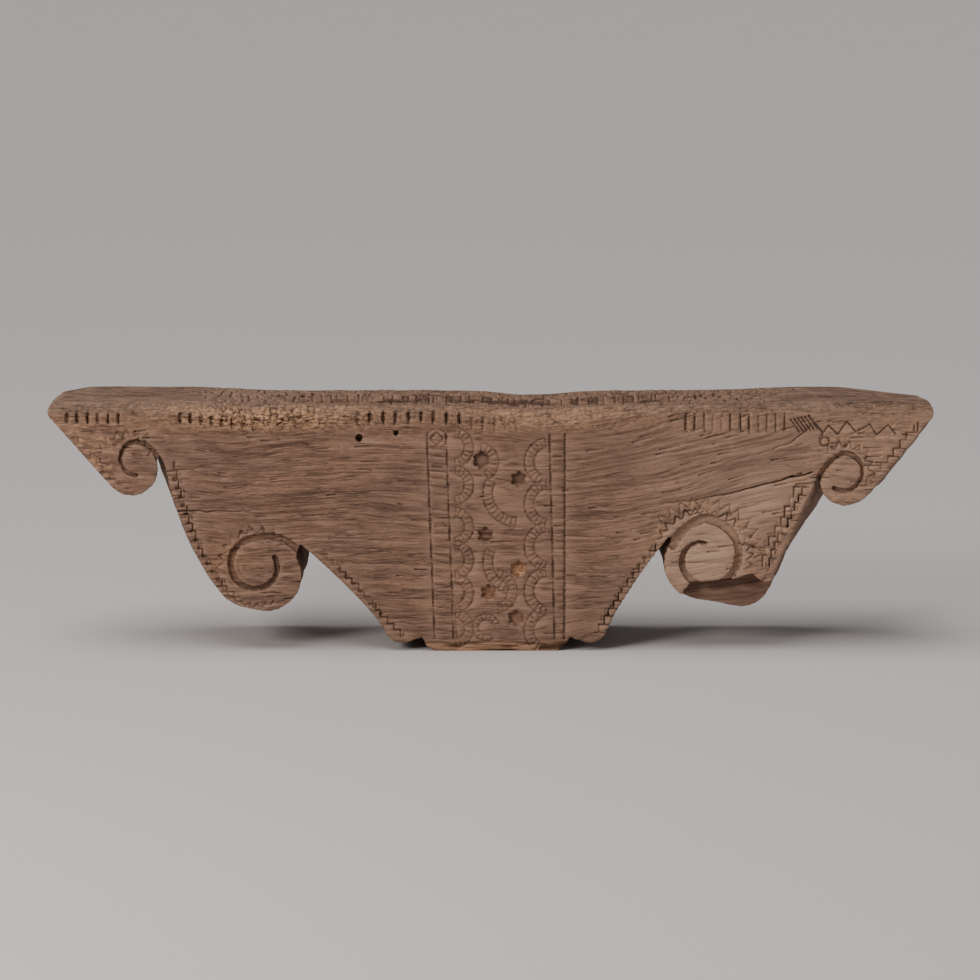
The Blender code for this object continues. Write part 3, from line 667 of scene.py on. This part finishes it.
def store_masks(mesh, face, top):
    """Keeps the painted shade of hollows and cuts, where the wood is rubbed, rotted, broken or weathered,
    and how its grain runs.
    """
    places, normals = vertex_arrays(mesh)
    x, y, z = places.T
    looks_up = smoothstep(0.35, 0.8, normals[:, 2]) * smoothstep(0.28, 0.31, z)
    looks_front = smoothstep(0.3, 0.8, -normals[:, 1])
    near_face = smoothstep(FRONT + 0.014, FRONT + 0.008, y)
    near_top = smoothstep(HEIGHT - 0.036, HEIGHT - 0.026, z) * (1 - near_face)
    # painted shade: how far the cuts sink past 2 mm, used to darken the colour in them
    sunk = near_face * (face.sample(x, z) - 0.0020) + near_top * (top.sample(x, y) - 0.0040)
    store(mesh, "sunk", np.clip(sunk / 0.0040, 0.0, 1.0))
    # painted shade: how enclosed each vertex is, used to darken the colour of the hollows
    store(mesh, "hollow", painted_occlusion_shade(mesh))
    store(mesh, "rubbed", np.clip(ridges(mesh) / 0.0006, 0.0, 1.0))
    store(mesh, "top", looks_up)
    middle = bump(x, -0.24, 0.19) + bump(x, 0.25, 0.17) + 0.7 * bump(x, 0.02, 0.12)
    store(mesh, "rot", looks_up * np.clip(middle, 0.0, 1.0) * smoothstep(FRONT + 0.022, FRONT + 0.040, y))
    arris = smoothstep(0.298, 0.318, z) * smoothstep(FRONT + 0.030, FRONT + 0.012, y)
    arris = arris * (0.12 + bump(x, -0.30, 0.11) + 0.30 * bump(x, 0.06, 0.10))
    store(mesh, "arris", np.clip(arris, 0.0, 1.0))
    slope = smoothstep(0.298, 0.318, z) * smoothstep(0.10, 0.35, normals[:, 2])
    store(mesh, "grimy", slope * (0.40 + 0.40 * bump(x, 0.08, 0.20)) * (1 - bump(x, -0.30, 0.12)))
    store(mesh, "pale", pale_wear_and_highlight(x, y, z, looks_up, looks_front))
    store(mesh, "stained", stained_places(x, y, z))
    store(mesh, "chipped", chipped_places(x, z) * looks_front)
    fresh = smoothstep(0.0165, 0.005, z) + bump(x, -0.36, 0.03) * bump(z, 0.125, 0.03) * 0.5
    store(mesh, "fresh", np.clip(fresh, 0.0, 1.0) * (1 - 0.5 * (1 - looks_front)))
    in_break = smoothstep(0.105, 0.095, z) * smoothstep(FRONT + 0.012, FRONT + 0.018, y) * looks_front
    store(mesh, "split", in_break * smoothstep(0.20, 0.24, x))
    grain = np.stack([x, y, z - grain_rise(x, z)], axis=1)
    layer = mesh.attributes.new("grain_place", "FLOAT_VECTOR", "POINT")
    layer.data.foreach_set("vector", grain.astype(np.float32).ravel())


class Nodes:
    """Short calls for building a material."""

    def __init__(self, material):
        material.use_nodes = True
        self.tree = material.node_tree
        self.shader = self.tree.nodes["Principled BSDF"]

    def link(self, value, socket):
        """Sets a socket from another socket or from a plain value."""
        if isinstance(value, bpy.types.NodeSocket):
            self.tree.links.new(value, socket)
        else:
            socket.default_value = value

    def attribute(self, name, output="Fac"):
        node = self.tree.nodes.new("ShaderNodeAttribute")
        node.attribute_name = name
        return node.outputs[output]

    def scaled(self, vector, scale):
        node = self.tree.nodes.new("ShaderNodeMapping")
        self.link(vector, node.inputs["Vector"])
        node.inputs["Scale"].default_value = scale
        return node.outputs["Vector"]

    def noise(self, vector, scale, detail, roughness):
        node = self.tree.nodes.new("ShaderNodeTexNoise")
        self.link(self.scaled(vector, scale), node.inputs["Vector"])
        node.inputs["Scale"].default_value = 1.0
        node.inputs["Detail"].default_value = detail
        node.inputs["Roughness"].default_value = roughness
        return node.outputs["Fac"]

    def math(self, operation, first, second=0.0):
        node = self.tree.nodes.new("ShaderNodeMath")
        node.operation = operation
        self.link(first, node.inputs[0])
        self.link(second, node.inputs[1])
        return node.outputs[0]

    def ridge(self, value):
        """Distance of a noise from its middle, which is 0 on thin wavy lines."""
        return self.math("ABSOLUTE", self.math("SUBTRACT", value, 0.5))

    def span(self, value, low, high, to_low=0.0, to_high=1.0):
        """Maps a range of values smoothly onto another."""
        node = self.tree.nodes.new("ShaderNodeMapRange")
        node.interpolation_type = "SMOOTHSTEP"
        for socket, number in zip(node.inputs[1:5], (low, high, to_low, to_high)):
            socket.default_value = number
        self.link(value, node.inputs["Value"])
        return node.outputs["Result"]

    def mix(self, share, first, second):
        """Blends two colours. Sockets 6 and 7 and output 2 are the node's colour ones."""
        node = self.tree.nodes.new("ShaderNodeMix")
        node.data_type = "RGBA"
        for value, socket in ((share, node.inputs[0]), (first, node.inputs[6]), (second, node.inputs[7])):
            self.link(value, socket)
        return node.outputs[2]

    def masked(self, name, share):
        """A stored mask, weakened to a share of itself."""
        return self.math("MULTIPLY", self.attribute(name), share)

    def tones(self, value, low, high, dark, pale):
        """Dark where a value is low, pale where it is high."""
        return self.mix(self.span(value, low, high), dark, pale)

    def bump(self, height, strength, distance, normal=None):
        node = self.tree.nodes.new("ShaderNodeBump")
        self.link(height, node.inputs["Height"])
        node.inputs["Strength"].default_value = strength
        node.inputs["Distance"].default_value = distance
        if normal is not None:
            self.link(normal, node.inputs["Normal"])
        return node.outputs["Normal"]


def grain_colour(nodes, place, streaks, fine, speckle, long_lines):
    """The colour of sound old wood: streaks, bands and patches, dark lines and pale flecks."""
    bands = nodes.noise(place, (2.6, 14, 60), 5.0, 0.62)
    patches = nodes.noise(place, (5, 5, 9), 4.0, 0.6)
    short_lines = nodes.ridge(nodes.noise(place, (16, 80, 170), 3.0, 0.55))
    colour = nodes.tones(streaks, 0.34, 0.68, (0.085, 0.041, 0.026, 1), (0.290, 0.160, 0.103, 1))
    colour = nodes.mix(nodes.span(bands, 0.42, 0.66, 0.0, 0.45), colour, (0.240, 0.132, 0.086, 1))
    colour = nodes.mix(nodes.span(patches, 0.45, 0.66, 0.0, 0.40), colour, (0.135, 0.076, 0.057, 1))
    colour = nodes.mix(nodes.span(long_lines, 0.0, 0.016, 0.70, 0.0), colour, (0.045, 0.021, 0.013, 1))
    colour = nodes.mix(nodes.span(short_lines, 0.0, 0.020, 0.55, 0.0), colour, (0.055, 0.026, 0.016, 1))
    colour = nodes.mix(nodes.span(fine, 0.55, 0.70, 0.0, 0.60), colour, (0.400, 0.245, 0.165, 1))
    colour = nodes.mix(nodes.span(fine, 0.44, 0.32, 0.0, 0.75), colour, (0.035, 0.016, 0.010, 1))
    return nodes.mix(nodes.span(speckle, 0.62, 0.74, 0.0, 0.55), colour, (0.430, 0.230, 0.120, 1))


def add_weathering(nodes, place, streaks, speckle, colour):
    """Lays the chips, the wear with a painted highlight, the grey top, the grime, the rot and the crumbled
    arris on a colour.
    """
    flecks = nodes.noise(place, (55, 60, 120), 5.0, 0.7)
    chips = nodes.masked("chipped", nodes.span(flecks, 0.52, 0.62, 0.0, 0.75))
    colour = nodes.mix(chips, colour, (0.470, 0.245, 0.130, 1))
    pits = nodes.masked("chipped", nodes.span(flecks, 0.42, 0.36, 0.0, 0.70))
    colour = nodes.mix(pits, colour, (0.050, 0.024, 0.015, 1))
    # pale: rubbed wear, and a painted highlight on the right big volute's channel wall
    pale = nodes.masked("pale", nodes.span(streaks, 0.30, 0.58, 0.35, 0.95))
    colour = nodes.mix(pale, colour, (0.440, 0.280, 0.190, 1))
    top_streaks = nodes.noise(place, (12, 48, 40), 6.0, 0.80)
    top_tone = nodes.tones(top_streaks, 0.40, 0.60, (0.022, 0.013, 0.009, 1), (0.155, 0.098, 0.070, 1))
    colour = nodes.mix(nodes.masked("top", 0.88), colour, top_tone)
    pitted = nodes.noise(place, (60, 110, 210), 5.0, 0.8)
    grime = nodes.tones(pitted, 0.40, 0.58, (0.026, 0.012, 0.008, 1), (0.250, 0.138, 0.086, 1))
    colour = nodes.mix(nodes.attribute("grimy"), colour, grime)
    rot_tone = nodes.tones(speckle, 0.38, 0.66, (0.028, 0.013, 0.008, 1), (0.190, 0.096, 0.056, 1))
    colour = nodes.mix(nodes.masked("rot", 0.85), colour, rot_tone)
    arris_tone = nodes.tones(speckle, 0.42, 0.60, (0.095, 0.040, 0.019, 1), (0.560, 0.310, 0.150, 1))
    return nodes.mix(nodes.masked("arris", 0.85), colour, arris_tone)


def add_breaks(nodes, streaks, speckle, colour):
    """Lays the stained stars, the fresher wood of the foot and the face of the break on a colour."""
    stain = nodes.tones(speckle, 0.42, 0.60, (0.210, 0.085, 0.035, 1), (0.620, 0.340, 0.190, 1))
    colour = nodes.mix(nodes.attribute("stained"), colour, stain)
    fresh_tone = nodes.tones(streaks, 0.35, 0.65, (0.120, 0.050, 0.024, 1), (0.400, 0.210, 0.105, 1))
    colour = nodes.mix(nodes.masked("fresh", 0.80), colour, fresh_tone)
    split_tone = nodes.tones(streaks, 0.35, 0.65, (0.075, 0.038, 0.025, 1), (0.165, 0.090, 0.060, 1))
    return nodes.mix(nodes.masked("split", 0.85), colour, split_tone)


def add_wear_and_painted_shade(nodes, colour):
    """Lightens the rubbed ridges of a colour, and paints shade into its hollows and cuts."""
    colour = nodes.mix(nodes.masked("rubbed", 0.40), colour, (0.360, 0.220, 0.150, 1))
    # painted shade: the hollows are darkened in the colour
    hollow = nodes.span(nodes.attribute("hollow"), 0.14, 0.80, 0.0, 0.62)
    colour = nodes.mix(hollow, colour, (0.048, 0.024, 0.014, 1))
    # painted shade: the deeper cuts are darkened in the colour
    sunk = nodes.span(nodes.attribute("sunk"), 0.0, 0.8, 0.0, 0.70)
    return nodes.mix(sunk, colour, (0.034, 0.016, 0.010, 1))


def wood_material():
    """Old weathered wood: streaked along the grain, with painted shade in its hollows and pale where it is
    rubbed.
    """
    material = bpy.data.materials.new("weathered_wood")
    nodes = Nodes(material)
    place = nodes.attribute("grain_place", "Vector")
    streaks = nodes.noise(place, (11, 90, 250), 6.0, 0.72)
    fine = nodes.noise(place, (45, 400, 620), 3.0, 0.75)
    speckle = nodes.noise(place, (90, 200, 260), 4.0, 0.75)
    long_lines = nodes.ridge(nodes.noise(place, (7, 40, 95), 3.0, 0.5))
    colour = grain_colour(nodes, place, streaks, fine, speckle, long_lines)
    colour = add_weathering(nodes, place, streaks, speckle, colour)
    colour = add_breaks(nodes, streaks, speckle, colour)
    colour = add_wear_and_painted_shade(nodes, colour)
    nodes.link(colour, nodes.shader.inputs["Base Color"])
    nodes.link(nodes.span(streaks, 0.2, 0.8, 0.72, 0.92), nodes.shader.inputs["Roughness"])
    nodes.shader.inputs["Specular IOR Level"].default_value = 0.28
    sunk_lines = nodes.bump(nodes.span(long_lines, 0.0, 0.030), 0.60, 0.0012)
    ridged = nodes.bump(streaks, 0.60, 0.0024, sunk_lines)
    nodes.link(nodes.bump(fine, 0.45, 0.0008, ridged), nodes.shader.inputs["Normal"])
    return material


def make_timber():
    """The whole timber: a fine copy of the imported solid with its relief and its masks."""
    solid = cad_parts["bracket_capital"]
    timber = bpy.data.objects.new("carved_timber", solid.data.copy())
    timber.matrix_world = solid.matrix_world.copy()
    bpy.context.scene.collection.objects.link(timber)
    remesh = timber.modifiers.new("even", "REMESH")
    remesh.mode = "VOXEL"
    remesh.voxel_size = VOXEL
    mesh = applied(timber)
    round_far_corners(mesh)
    face, top = press_relief(mesh)
    triangles = 2 * len(mesh.polygons)
    if triangles > MOST_TRIANGLES:
        thin = timber.modifiers.new("thin", "DECIMATE")
        thin.ratio = MOST_TRIANGLES / triangles
        mesh = applied(timber)
    mesh.shade_smooth()
    store_masks(mesh, face, top)
    mesh.materials.clear()
    mesh.materials.append(wood_material())
    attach(timber, "root")
    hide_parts("bracket_capital")


def stage_material(name, colour):
    """Plain matt paper."""
    material = bpy.data.materials.new(name)
    material.use_nodes = True
    shader = material.node_tree.nodes["Principled BSDF"]
    shader.inputs["Base Color"].default_value = (*colour, 1.0)
    shader.inputs["Roughness"].default_value = 0.9
    return material


def make_stage():
    """A wide pale floor under the timber."""
    verts = [(x * FLOOR_REACH, y * FLOOR_REACH, 0.0) for x, y in ((-1, -1), (1, -1), (1, 1), (-1, 1))]
    mesh = bpy.data.meshes.new("studio_floor")
    mesh.from_pydata(verts, [], [(0, 1, 2, 3)])
    mesh.materials.append(stage_material("studio_paper", (0.48, 0.45, 0.435)))
    floor = bpy.data.objects.new("studio_floor", mesh)
    bpy.context.scene.collection.objects.link(floor)


def add_light(name, place, target, size, power, colour=(1.0, 1.0, 1.0)):
    """A soft square lamp that points at a target."""
    lamp = bpy.data.lights.new(name, "AREA")
    lamp.shape = "RECTANGLE"
    lamp.size, lamp.size_y = size
    lamp.energy = power
    lamp.color = colour
    light = bpy.data.objects.new(name, lamp)
    light.location = place
    light.rotation_euler = (Vector(target) - Vector(place)).to_track_quat("-Z", "Y").to_euler()
    bpy.context.scene.collection.objects.link(light)


def make_lights():
    """Soft light from above and from the front left, with a weak fill from the right and from the sky."""
    middle = (0.0, 0.0, 0.18)
    sky = bpy.data.lights.new("overhead", "SUN")
    sky.energy = 2.5
    sky.angle = math.radians(45)
    overhead = bpy.data.objects.new("overhead", sky)
    overhead.rotation_euler = Vector((0.5, 0.3, -2.2)).to_track_quat("-Z", "Y").to_euler()
    bpy.context.scene.collection.objects.link(overhead)
    add_light("key", (-2.0, -2.3, 1.8), middle, (1.2, 1.1), 72.0, (1.0, 0.98, 0.95))
    add_light("fill", (2.6, -2.6, 1.0), middle, (2.0, 2.0), 14.0)
    world = bpy.data.worlds.new("studio")
    world.use_nodes = True
    world.node_tree.nodes["Background"].inputs["Color"].default_value = (0.80, 0.80, 0.82, 1.0)
    world.node_tree.nodes["Background"].inputs["Strength"].default_value = 0.22
    bpy.context.scene.world = world


def make_camera():
    """The camera, level across and tilted down a little."""
    data = bpy.data.cameras.new("camera")
    data.lens = CAMERA_LENS
    data.clip_end = 30.0
    camera = bpy.data.objects.new("camera", data)
    away = Vector((0.0, -math.cos(CAMERA_ELEVATION), math.sin(CAMERA_ELEVATION)))
    camera.location = Vector(CAMERA_TARGET) + CAMERA_DISTANCE * away
    camera.rotation_euler = (math.pi / 2 - CAMERA_ELEVATION, 0.0, 0.0)
    bpy.context.scene.collection.objects.link(camera)
    bpy.context.scene.camera = camera


make_camera()
make_lights()
make_stage()
make_timber()
